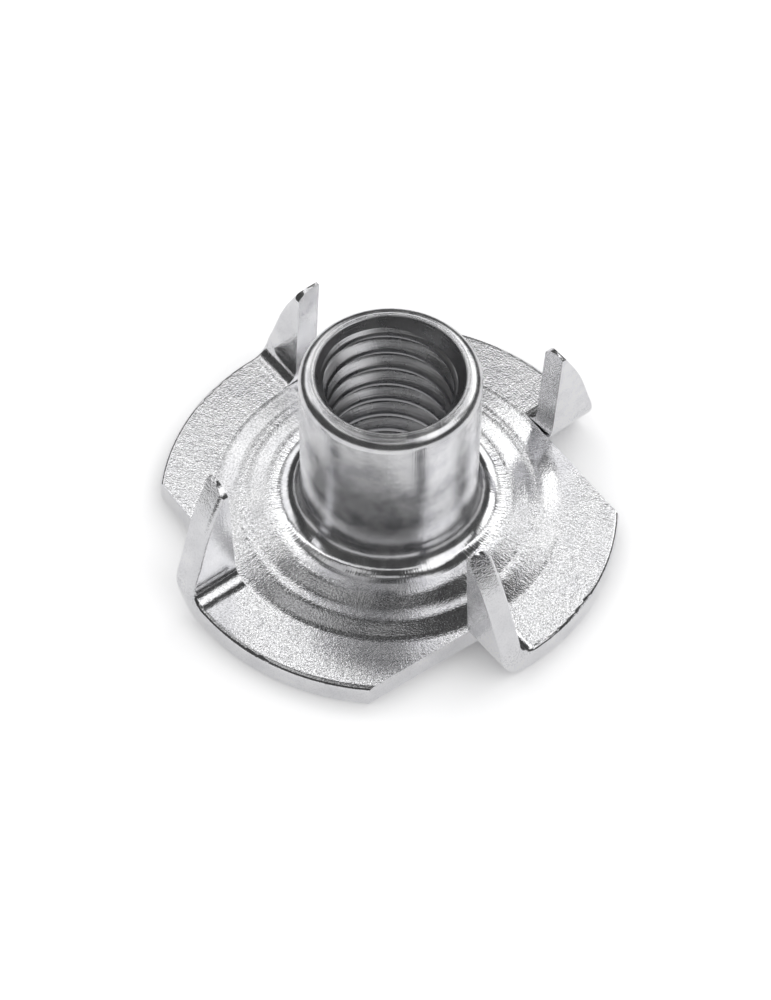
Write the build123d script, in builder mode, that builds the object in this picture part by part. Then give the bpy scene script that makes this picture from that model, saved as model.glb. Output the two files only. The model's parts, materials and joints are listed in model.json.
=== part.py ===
"""Tee nut: a threaded barrel drawn from a round flange, with four pointed prongs bent up from its rim."""
import math
import os
from build123d import *

# Flange
flange_radius = 9.5
sheet = 1.05
edge_round = 0.2

# Pressed rings round the barrel: two raised flats, each with a shallow slope down to the next
inner_flat = 0.46
inner_slope = 0.75
inner_rise = 0.16
middle_flat = 0.45
outer_slope = 0.8
middle_rise = 0.19
ring_blend = 1.3

# Barrel
height = 9.1
barrel_radius = 3.64
root_fillet = 1.0
rim_crest_radius = 3.16
rim_fall = 0.52

# Bore, its wall at the crest line of the mating screw
bore_radius = 3.0
lead_in_depth = 0.24
mouth_fillet = 1.1

# Prongs: flaps of the flange, sheared along straight lines and bent up about lines through the axis
prong_count = 4
bend_angle = 38.9
cut_skew = 3.1
cut_clearance = 0.2
bend_radius = 0.75
bend_turn = 87
prong_height = 6.4
tip_round = 0.45
tip_crown = 0.9
edge_start = 0.15

# Curved edge of a prong: shares of its height, and of its width at the foot
edge_height_shares = (0.4, 0.65, 0.845, 1.0)
edge_width_shares = (0.845, 0.59, 0.32, 0.07)

# Share of the sheet, from its underside, where the tip is highest
crown_share = 0.3

# Share of a face normal below which the face counts as square to the bend line
square_share = 0.1

# Overrun of cutting shapes
overrun = 1.0

middle_top = sheet + middle_rise
inner_top = middle_top + inner_rise
inner_slope_start = barrel_radius + root_fillet + inner_flat
inner_slope_end = inner_slope_start + inner_slope
outer_slope_start = inner_slope_end + middle_flat
outer_slope_end = outer_slope_start + outer_slope
cut_distance = outer_slope_end + cut_clearance
prong_width = flange_radius - cut_distance
outer_bend = bend_radius + sheet
strip_plane = Plane.YZ.offset(cut_distance - overrun)
strip_span = prong_width + overrun + overrun
blade_plane = Plane.XZ.offset(-overrun)
blade_span = outer_bend + prong_height

# How far the blade leans from the bend line at the tip, measured to the tip's highest line
crown_reach = outer_bend - crown_share * sheet
lean_slope = 1 / math.tan(math.radians(bend_turn))
tip_reach = crown_reach / math.sin(math.radians(bend_turn)) + lean_slope * (prong_height - outer_bend)

# Corners of a flap seen from above, its bend line on +X: bend line, then along the straight cut past the rim
bend_end = Vector(cut_distance, 0)
cut_end = bend_end + Vector(0, -flange_radius).rotate(Axis.Z, -cut_skew)
clear_end = cut_end + Vector(flange_radius, 0)
clear_corner = Vector(clear_end.X, 0)
flap_corners = [tuple(corner)[:2] for corner in (bend_end, clear_corner, clear_end, cut_end)]

os.makedirs("parts", exist_ok=True)

# One prong, its bend line on +X: a bent strip of sheet trimmed to a pointed blade
with BuildPart() as prong:
    with BuildSketch(strip_plane):
        with BuildLine():
            foot = Line((0, sheet), (0, 0))
            under = JernArc(foot @ 1, tangent=(-1, 0), radius=outer_bend, arc_size=-bend_turn)
            inside = JernArc(foot @ 0, tangent=(-1, 0), radius=bend_radius, arc_size=-bend_turn)
            back = PolarLine(under @ 1, prong_height, direction=under % 1)
            front = PolarLine(inside @ 1, prong_height, direction=inside % 1)
            Line(back @ 1, front @ 1)
        make_face()
    extrude(amount=strip_span)
    # Straight sheared edge inside, curved rim edge outside
    widths = [cut_distance + share * prong_width for share in edge_width_shares]
    heights = [share * prong_height for share in edge_height_shares]
    points = [Vector(x, z) for x, z in zip(widths, heights)]
    with BuildSketch(blade_plane):
        with BuildLine():
            base = Line((flange_radius, -overrun), (cut_distance, -overrun))
            rise = Line(base @ 1, (cut_distance, heights[-1]))
            shoulder = Line(base @ 0, (flange_radius, sheet + edge_start))
            edge = Spline(shoulder @ 1, *points, tangents=(shoulder % 1, points[-1] - points[-2]))
            Line(edge @ 1, rise @ 1)
        make_face()
    extrude(amount=blade_span, mode=Mode.INTERSECT)
    # The rim's rolled top edge carries on up the inside of the bend to the tip
    rim_faces = prong.faces().filter_by(lambda face: abs(face.normal_at().Y) < square_share)
    rim_faces = rim_faces.filter_by(lambda face: face.normal_at().X > square_share)
    inside_faces = prong.faces().filter_by(lambda face: face.normal_at().Y > square_share)
    inside_faces = inside_faces.filter_by(lambda face: face.center().Y < -edge_round)
    fillet(rim_faces.edges() & inside_faces.edges(), radius=edge_round)
    # Blunt tip, rounded across its width and then crowned across its thickness
    with BuildSketch(blade_plane):
        with Locations((cut_distance, prong_height - tip_round)):
            Circle(tip_round)
            Rectangle(flange_radius, flange_radius, align=(Align.CENTER, Align.MAX))
    extrude(amount=blade_span, mode=Mode.INTERSECT)
    with BuildSketch(strip_plane):
        with Locations((-tip_reach, prong_height - tip_crown)):
            Circle(tip_crown)
            Rectangle(flange_radius, flange_radius, align=(Align.CENTER, Align.MAX))
    extrude(amount=strip_span, mode=Mode.INTERSECT)

with BuildPart() as tee_nut:
    # Flange, rings, barrel and bore in one turned section
    with BuildSketch(Plane.XZ) as section:
        with BuildLine():
            floor = Line((bore_radius + mouth_fillet, 0), (flange_radius, 0))
            side = Line(floor @ 1, (flange_radius, sheet - edge_round))
            roll = RadiusArc(side @ 1, (flange_radius - edge_round, sheet), -edge_round)
            land = Line(roll @ 1, (outer_slope_end, sheet))
            slope = Line(land @ 1, (outer_slope_start, middle_top))
            middle = Line(slope @ 1, (inner_slope_end, middle_top))
            step = Line(middle @ 1, (inner_slope_start, inner_top))
            ring = Line(step @ 1, (barrel_radius + root_fillet, inner_top))
            root = RadiusArc(ring @ 1, (barrel_radius, inner_top + root_fillet), root_fillet)
            wall = Line(root @ 1, (barrel_radius, height - rim_fall))
            lip = TangentArc(wall @ 1, (rim_crest_radius, height), tangent=wall % 1)
            lead = Line(lip @ 1, (bore_radius, height - lead_in_depth))
            bore = Line(lead @ 1, (bore_radius, mouth_fillet))
            RadiusArc(bore @ 1, floor @ 0, mouth_fillet)
        make_face()
        creases = section.vertices().filter_by_position(Axis.X, inner_slope_start, outer_slope_end)
        fillet(creases.filter_by_position(Axis.Y, sheet, inner_top), radius=ring_blend)
    revolve(axis=Axis.Z)
    # Flaps sheared free of the rim: a straight cut from the rim inwards, up to the bend line
    with BuildSketch(Plane.XY.offset(-overrun)):
        with PolarLocations(0, prong_count, start_angle=bend_angle):
            Polygon(*flap_corners, align=None)
    extrude(amount=sheet + overrun + overrun, mode=Mode.SUBTRACT)
    # Prongs
    with PolarLocations(0, prong_count, start_angle=bend_angle):
        add(prong.part)

tee_nut.part.label = "tee_nut"
export_step(tee_nut.part, "parts/tee_nut.step")
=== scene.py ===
"""Tee nut on a white floor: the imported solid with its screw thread, zinc plate, studio light and camera."""

import json
import math

import bmesh
import bpy
from mathutils import Matrix, Vector


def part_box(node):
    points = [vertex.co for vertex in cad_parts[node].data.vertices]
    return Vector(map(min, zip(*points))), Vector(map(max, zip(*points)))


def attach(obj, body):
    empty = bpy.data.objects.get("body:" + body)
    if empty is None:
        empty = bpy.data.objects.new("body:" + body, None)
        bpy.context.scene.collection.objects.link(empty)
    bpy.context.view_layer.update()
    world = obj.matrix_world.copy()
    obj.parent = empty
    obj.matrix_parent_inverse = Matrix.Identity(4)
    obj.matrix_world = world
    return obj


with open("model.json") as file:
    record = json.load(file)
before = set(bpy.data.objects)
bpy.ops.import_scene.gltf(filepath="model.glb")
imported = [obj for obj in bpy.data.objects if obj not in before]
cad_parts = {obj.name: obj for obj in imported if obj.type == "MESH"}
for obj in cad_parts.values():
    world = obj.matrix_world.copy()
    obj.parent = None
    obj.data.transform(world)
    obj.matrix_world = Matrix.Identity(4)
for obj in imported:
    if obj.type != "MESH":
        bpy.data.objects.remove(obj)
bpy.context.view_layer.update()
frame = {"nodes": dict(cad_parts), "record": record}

MM = 0.001
nut = frame["nodes"]["tee_nut"]
nut_low, nut_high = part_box("tee_nut")
mounts = {mount["name"]: mount for mount in frame["record"]["mounts"]}
bore_radius = mounts["thread"]["dims"]["r_mm"] * MM
barrel_radius = mounts["barrel"]["dims"]["r_mm"] * MM

# Screw thread: one right-hand ridge wound down the bore, its root sunk in the wall
PITCH = 1.0 * MM
CREST_RADIUS = 2.52 * MM
ROOT_SINK = 0.04 * MM
ROOT_WIDTH = 0.86 * MM
CREST_WIDTH = 0.24 * MM
THREAD_BOTTOM = 0.95 * MM
THREAD_TOP = 8.78 * MM
LEAD_START = 8.4 * MM
LEAD_SLOPE = 0.6
FAR_CREST = 8.38 * MM
STEPS_PER_TURN = 96

# Turns over which the ridge fades out at each end
RUN_OUT = 0.3

# Rounded crest of the ridge: its shoulder as shares of the depth and of the flank's width, and its flat
SHOULDER_DEPTH_SHARE = 0.12
SHOULDER_WIDTH_SHARE = 0.16
CREST_FLAT_SHARE = 0.6

# Countersunk mouth of the thread: radius and height in mm, from the rim's crest down to the first turn
MOUTH_CREST = ((3.18, 9.09), (3.02, 9.09), (2.97, 9.065))
MOUTH_CONE = ((2.94, 9.015), (2.65, 8.52), (2.66, 8.46), (3.04, 8.24))
CREASE_ANGLE = math.radians(35)

# Finish: depth of the bump, and how many grains, dents, clouds and specks there are to the metre
BUMP_DEPTH = 0.007 * MM
GRAIN_FINENESS = 16000
DENT_FINENESS = 2600
CLOUD_FINENESS = 1000
SPECK_FINENESS = 13500
RING_FINENESS = 9000
DARK_ZINC = (0.68, 0.68, 0.70, 1)
PALE_ZINC = (0.86, 0.86, 0.87, 1)
# Dark colour of the specks, and of the painted shade in the bore
SPECK_AND_BORE_SHADE_ZINC = (0.3, 0.3, 0.31, 1)
FLOOR_COLOR = (0.86, 0.86, 0.87, 1)

# Camera, worked out from the photo's flange and rim ellipses
CAMERA_TARGET = Vector((-0.137, 0.668, 0.0)) * MM
CAMERA_DISTANCE = 120 * MM
CAMERA_ELEVATION = math.radians(52.907)
CAMERA_ROLL = math.radians(0.788)
PIXELS_PER_MM = 23.971
PICTURE_HEIGHT = 1000
SENSOR_HEIGHT = 36

# Light: the dim room and the lit parts of it
ROOM_LEVEL = 0.07
BAND_LEVEL = 1.9
PANEL_LEVEL = 1.7
WINDOW_LEVEL = 1.2
SKYLIGHT_LEVEL = 0.55
OVERHEAD_LEVEL = 0.5

# How much whiter the floor looks to the camera and in reflections, and how far the nut's shadow reaches on it
CAMERA_LIFT = 0.72
GLOSS_LIFT = 0.42
SHADOW_REACH = 6 * MM


class Shader:
    """Short ways to add and join the nodes of one node tree."""

    def __init__(self, tree):
        self.tree = tree

    def add(self, kind, inputs=(), **settings):
        """One node: its settings by name, and its inputs as (socket, value or output socket) pairs."""
        made = self.tree.nodes.new("ShaderNode" + kind)
        for name, value in settings.items():
            setattr(made, name, value)
        for socket, value in inputs:
            if isinstance(value, bpy.types.NodeSocket):
                self.tree.links.new(value, made.inputs[socket])
            else:
                made.inputs[socket].default_value = value
        return made

    def math(self, operation, first, *others):
        """The result of a chain of Math nodes, each joining the next value to what came before."""
        result = first
        for other in others or (0.0,):
            result = self.add("Math", ((0, result), (1, other)), operation=operation).outputs[0]
        return result

    def ramp(self, value, low, high, start=0.0, end=1.0):
        """A value's climb from start to end between low and high, smoothed at both ends."""
        inputs = (("Value", value), ("From Min", low), ("From Max", high), ("To Min", start), ("To Max", end))
        return self.add("MapRange", inputs, interpolation_type="SMOOTHSTEP").outputs["Result"]

    def between(self, value, start, full, fade, end):
        """1 from full to fade, falling softly to 0 at start and at end."""
        return self.math("MULTIPLY", self.ramp(value, start, full), self.ramp(value, fade, end, 1.0, 0.0))

    def noise(self, place, scale, detail=2.0):
        """Fractal noise at a place, from about 0.3 to 0.7."""
        inputs = (("Vector", place), ("Scale", scale), ("Detail", detail))
        return self.add("TexNoise", inputs).outputs["Fac"]

    def combine(self, x, y, z=0.0):
        """A vector from three values."""
        return self.add("CombineXYZ", (("X", x), ("Y", y), ("Z", z))).outputs["Vector"]


def ridge_section(crest):
    """Radius and axial offset of the ridge's corners, round its crest, for one crest radius."""
    root = bore_radius + ROOT_SINK
    share = (root - crest) / (root - CREST_RADIUS)
    half_root = ROOT_WIDTH / 2 * share
    half_crest = CREST_WIDTH / 2 * share
    half_shoulder = half_crest + (half_root - half_crest) * SHOULDER_WIDTH_SHARE
    half_flat = half_crest * CREST_FLAT_SHARE
    shoulder = crest + (root - crest) * SHOULDER_DEPTH_SHARE
    lower = [(root, -half_root), (shoulder, -half_shoulder), (crest, -half_flat)]
    upper = [(r, -z) for r, z in reversed(lower)]
    return lower + upper


def add_ring(mesh, corners, angle, height=0.0):
    """The corners of a section, given by radius and height, turned to an angle round the axis."""
    across, along = math.cos(angle), math.sin(angle)
    return [mesh.verts.new((r * across, r * along, height + z)) for r, z in corners]


def join_rings(mesh, rings):
    """Faces between each ring of corners and the next."""
    for low, high in zip(rings, rings[1:]):
        for i, corner in enumerate(low):
            j = (i + 1) % len(low)
            mesh.faces.new((corner, low[j], high[j], high[i]))


def add_ridge(mesh):
    """A closed ridge along a right-hand helix that fades into the wall at both ends."""
    steps = round((THREAD_TOP - THREAD_BOTTOM) / PITCH * STEPS_PER_TURN)
    phase = math.pi / 2 - math.tau * FAR_CREST / PITCH
    run_out_steps = RUN_OUT * STEPS_PER_TURN
    rings = []
    for step in range(steps + 1):
        height = THREAD_BOTTOM + (THREAD_TOP - THREAD_BOTTOM) * step / steps
        fade = min(1.0, step / run_out_steps, (steps - step) / run_out_steps)
        lead = CREST_RADIUS + max(0.0, height - LEAD_START) * LEAD_SLOPE
        faded = bore_radius - (bore_radius - CREST_RADIUS) * fade
        crest = min(max(lead, faded), bore_radius + ROOT_SINK / 2)
        rings.append(add_ring(mesh, ridge_section(crest), phase + math.tau * height / PITCH, height))
    join_rings(mesh, rings)
    mesh.faces.new(rings[0])
    mesh.faces.new(rings[-1])


def add_mouth(mesh):
    """A closed countersunk ring at the top of the thread."""
    corners = [(r * MM, z * MM) for r, z in MOUTH_CREST + MOUTH_CONE]
    rings = [add_ring(mesh, corners, math.tau * step / STEPS_PER_TURN) for step in range(STEPS_PER_TURN)]
    join_rings(mesh, rings + rings[:1])


def thread_mesh():
    """The thread's ridge and its countersunk mouth, smooth but for their creases."""
    mesh = bmesh.new()
    add_ridge(mesh)
    add_mouth(mesh)
    bmesh.ops.recalc_face_normals(mesh, faces=mesh.faces)
    data = bpy.data.meshes.new("thread")
    mesh.to_mesh(data)
    mesh.free()
    data.polygons.foreach_set("use_smooth", [True] * len(data.polygons))
    data.set_sharp_from_angle(angle=CREASE_ANGLE)
    return data


def new_material(name):
    """A new material, with a shader for its nodes and its surface node."""
    material = bpy.data.materials.new(name)
    material.use_nodes = True
    tree = material.node_tree
    return material, Shader(tree), tree.nodes["Principled BSDF"]


def zinc_material():
    """Bright zinc plate: fine grain and specks on the flange, a satin cloudy barrel, a rougher tapped bore
    darkened with painted shade.
    """
    material, shade, surface = new_material("zinc_plate")
    links = material.node_tree.links
    place = shade.add("TexCoord").outputs["Object"]
    axes = shade.add("SeparateXYZ", (("Vector", place),)).outputs
    rise = axes["Z"]
    flat_place = shade.combine(axes["X"], axes["Y"])
    radius = shade.add("VectorMath", ((0, flat_place),), operation="LENGTH").outputs["Value"]
    turn = shade.math("ARCTAN2", axes["Y"], axes["X"])
    on_flange = shade.ramp(radius, barrel_radius + 0.8 * MM, barrel_radius + 1.5 * MM, 0.1, 1.0)
    in_bore = shade.ramp(radius, bore_radius, bore_radius + 0.06 * MM, 1.0, 0.0)
    # Grain: strong on the flange, faint on the drawn barrel
    grain = shade.math("MULTIPLY", shade.noise(place, GRAIN_FINENESS), on_flange)
    dents = shade.math("MULTIPLY", shade.noise(place, DENT_FINENESS), 0.8)
    # Drawing lines: rings round the axis, which follow the tap down the bore, and streaks away from it
    ring_step = shade.math("ADD", radius, shade.math("MULTIPLY", rise, in_bore))
    ring_steps = shade.math("MULTIPLY", ring_step, RING_FINENESS)
    ring_place = shade.combine(ring_steps, shade.math("MULTIPLY", turn, 1.5))
    ring_depth = shade.math("ADD", shade.math("MULTIPLY", in_bore, 0.8), 0.5)
    rings = shade.math("MULTIPLY", shade.noise(ring_place, 1), ring_depth)
    streak_place = shade.combine(shade.math("MULTIPLY", turn, 55), shade.math("MULTIPLY", radius, 900))
    streaks = shade.math("MULTIPLY", shade.noise(streak_place, 1), 0.6)
    height = shade.math("ADD", grain, dents, rings, streaks)
    bump = shade.add("Bump", (("Strength", 1.0), ("Distance", BUMP_DEPTH), ("Height", height)))
    links.new(bump.outputs["Normal"], surface.inputs["Normal"])
    # Cloudy plate, strongest on the barrel
    clouds = shade.noise(place, CLOUD_FINENESS, 4)
    contrast = shade.ramp(on_flange, 0.1, 1.0, 1.1, 0.45)
    patches = shade.math("MULTIPLY", shade.math("SUBTRACT", clouds, 0.5), contrast)
    tint = shade.add("ValToRGB", (("Fac", shade.math("ADD", patches, 0.53)),))
    dark, pale = tint.color_ramp.elements
    dark.position = 0.38
    dark.color = DARK_ZINC
    pale.position = 0.62
    pale.color = PALE_ZINC
    # Fine dark specks on the flange's top, few on the prongs and the rim, and painted shade that darkens the
    # colour of the bore
    specks = shade.ramp(shade.noise(place, SPECK_FINENESS, 1), 0.36, 0.52, 1.0, 0.0)
    above_rim = shade.ramp(rise, 0.85 * MM, 1.0 * MM, 0.3, 1.0)
    below_prongs = shade.ramp(rise, 1.4 * MM, 2.2 * MM, 1.0, 0.25)
    specks = shade.math("MULTIPLY", specks, on_flange, 0.32, above_rim, below_prongs)
    specks_and_bore_shade = shade.math("MAXIMUM", specks, shade.math("MULTIPLY", in_bore, 0.6))
    layers = (("Factor", specks_and_bore_shade), (6, tint.outputs["Color"]), (7, SPECK_AND_BORE_SHADE_ZINC))
    plate = shade.add("Mix", layers, data_type="RGBA")
    links.new(plate.outputs[2], surface.inputs["Base Color"])
    # Satin barrel and bore
    satin = shade.ramp(radius, barrel_radius + 0.1 * MM, barrel_radius + 0.6 * MM, 0.13, 0.0)
    rough = shade.ramp(clouds, 0.35, 0.65, 0.08, 0.14)
    rough = shade.math("ADD", rough, satin, shade.math("MULTIPLY", in_bore, 0.04))
    links.new(rough, surface.inputs["Roughness"])
    surface.inputs["Metallic"].default_value = 1
    return material


def floor_material():
    """White paper floor, brighter to the camera under open sky, so it is white and keeps the shadow."""
    material, shade, surface = new_material("floor_white")
    surface.inputs["Base Color"].default_value = FLOOR_COLOR
    surface.inputs["Roughness"].default_value = 0.9
    surface.inputs["Specular IOR Level"].default_value = 0
    surface.inputs["Emission Color"].default_value = (1, 1, 1, 1)
    rays = shade.add("LightPath").outputs
    open_sky = shade.add("AmbientOcclusion", (("Distance", SHADOW_REACH),), samples=4).outputs["AO"]
    seen = shade.math("MULTIPLY", rays["Is Camera Ray"], CAMERA_LIFT, open_sky)
    mirrored = shade.math("MULTIPLY", rays["Is Glossy Ray"], GLOSS_LIFT)
    material.node_tree.links.new(shade.math("ADD", seen, mirrored), surface.inputs["Emission Strength"])
    return material


def studio_world():
    """A dim room with soft lights: a high band all round, low panels beside the back, and more above."""
    world = bpy.data.worlds.new("studio")
    world.use_nodes = True
    tree = world.node_tree
    shade = Shader(tree)
    axes = shade.add("SeparateXYZ", (("Vector", shade.add("TexCoord").outputs["Generated"]),)).outputs
    # A direction: how far it rises, and how far its level part faces the back and the right
    rise = axes["Z"]
    flat = shade.math("SQRT", shade.math("SUBTRACT", 1.0, shade.math("MULTIPLY", rise, rise)))
    flat = shade.math("MAXIMUM", flat, 0.001)
    facing = shade.math("DIVIDE", axes["Y"], flat)
    right = shade.math("DIVIDE", axes["X"], flat)
    aside = shade.math("ABSOLUTE", right)
    # High band, tallest at the back and dimmer towards the front
    top = shade.math("ADD", rise, shade.ramp(facing, 0.9, 0.985, 0.013, 0.0))
    band_rise = shade.ramp(rise, 0.76, 0.80)
    band_fall = shade.ramp(top, 0.834, 0.865, 1.0, 0.0)
    band_turn = shade.ramp(facing, -1.0, 0.2, 0.5, 1.0)
    band = shade.math("MULTIPLY", band_rise, band_fall, band_turn, BAND_LEVEL)
    # Low panels each side of the back, the left one weaker
    panel_sides = shade.math("MULTIPLY", shade.ramp(aside, 0.12, 0.3), shade.ramp(right, -0.2, 0.2, 0.7, 1.0))
    panel_turn = shade.ramp(facing, 0.2, 0.5)
    panel_rise = shade.between(rise, 0.38, 0.52, 0.68, 0.76)
    panels = shade.math("MULTIPLY", panel_rise, panel_sides, panel_turn, PANEL_LEVEL)
    # Tall window at the right and front, a skylight at the left, and a small light overhead
    window_rise = shade.between(rise, 0.45, 0.55, 0.93, 0.97)
    window_side = shade.ramp(right, 0.5, 0.75)
    window_turn = shade.ramp(facing, -0.05, 0.12, 1.0, 0.0)
    window = shade.math("MULTIPLY", window_rise, window_side, window_turn, WINDOW_LEVEL)
    skylight_rise = shade.between(rise, 0.89, 0.92, 0.965, 0.985)
    skylight_side = shade.ramp(right, -0.7, -0.4, 1.0, 0.0)
    skylight = shade.math("MULTIPLY", skylight_rise, skylight_side, SKYLIGHT_LEVEL)
    overhead = shade.ramp(rise, 0.992, 0.997, 0.0, OVERHEAD_LEVEL)
    light = shade.math("MAXIMUM", shade.math("ADD", band, panels), window, skylight, overhead)
    # White straight from the camera
    backdrop = shade.add("LightPath").outputs["Is Camera Ray"]
    background = tree.nodes["Background"]
    background.inputs["Color"].default_value = (1, 1, 1, 1)
    tree.links.new(shade.math("ADD", light, backdrop, ROOM_LEVEL), background.inputs["Strength"])
    return world


def studio_camera():
    """The photo's viewpoint: in front of the nut, looking down on it, with a slight roll."""
    back = Vector((0, -math.cos(CAMERA_ELEVATION), math.sin(CAMERA_ELEVATION)))
    level_right = Vector((1, 0, 0))
    level_up = back.cross(level_right)
    right = math.cos(CAMERA_ROLL) * level_right + math.sin(CAMERA_ROLL) * level_up
    up = back.cross(right)
    data = bpy.data.cameras.new("camera")
    data.sensor_fit = "VERTICAL"
    data.sensor_height = SENSOR_HEIGHT
    data.lens = PIXELS_PER_MM * CAMERA_DISTANCE / MM / PICTURE_HEIGHT * SENSOR_HEIGHT
    data.clip_start = 5 * MM
    camera = bpy.data.objects.new("camera", data)
    turn = Matrix((right, up, back)).transposed().to_4x4()
    camera.matrix_world = Matrix.Translation(CAMERA_TARGET + back * CAMERA_DISTANCE) @ turn
    return camera


scene = bpy.context.scene
zinc = zinc_material()
nut.data.materials.clear()
nut.data.materials.append(zinc)

thread = bpy.data.objects.new("thread", thread_mesh())
scene.collection.objects.link(thread)
thread.data.materials.append(zinc)
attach(thread, "root")

bpy.ops.mesh.primitive_plane_add(size=12 * nut_high.x, location=(0, 0, nut_low.z))
floor = bpy.context.object
floor.name = "floor"
floor.data.materials.append(floor_material())

scene.world = studio_world()
scene.camera = studio_camera()
scene.collection.objects.link(scene.camera)
scene.view_settings.view_transform = "Standard"
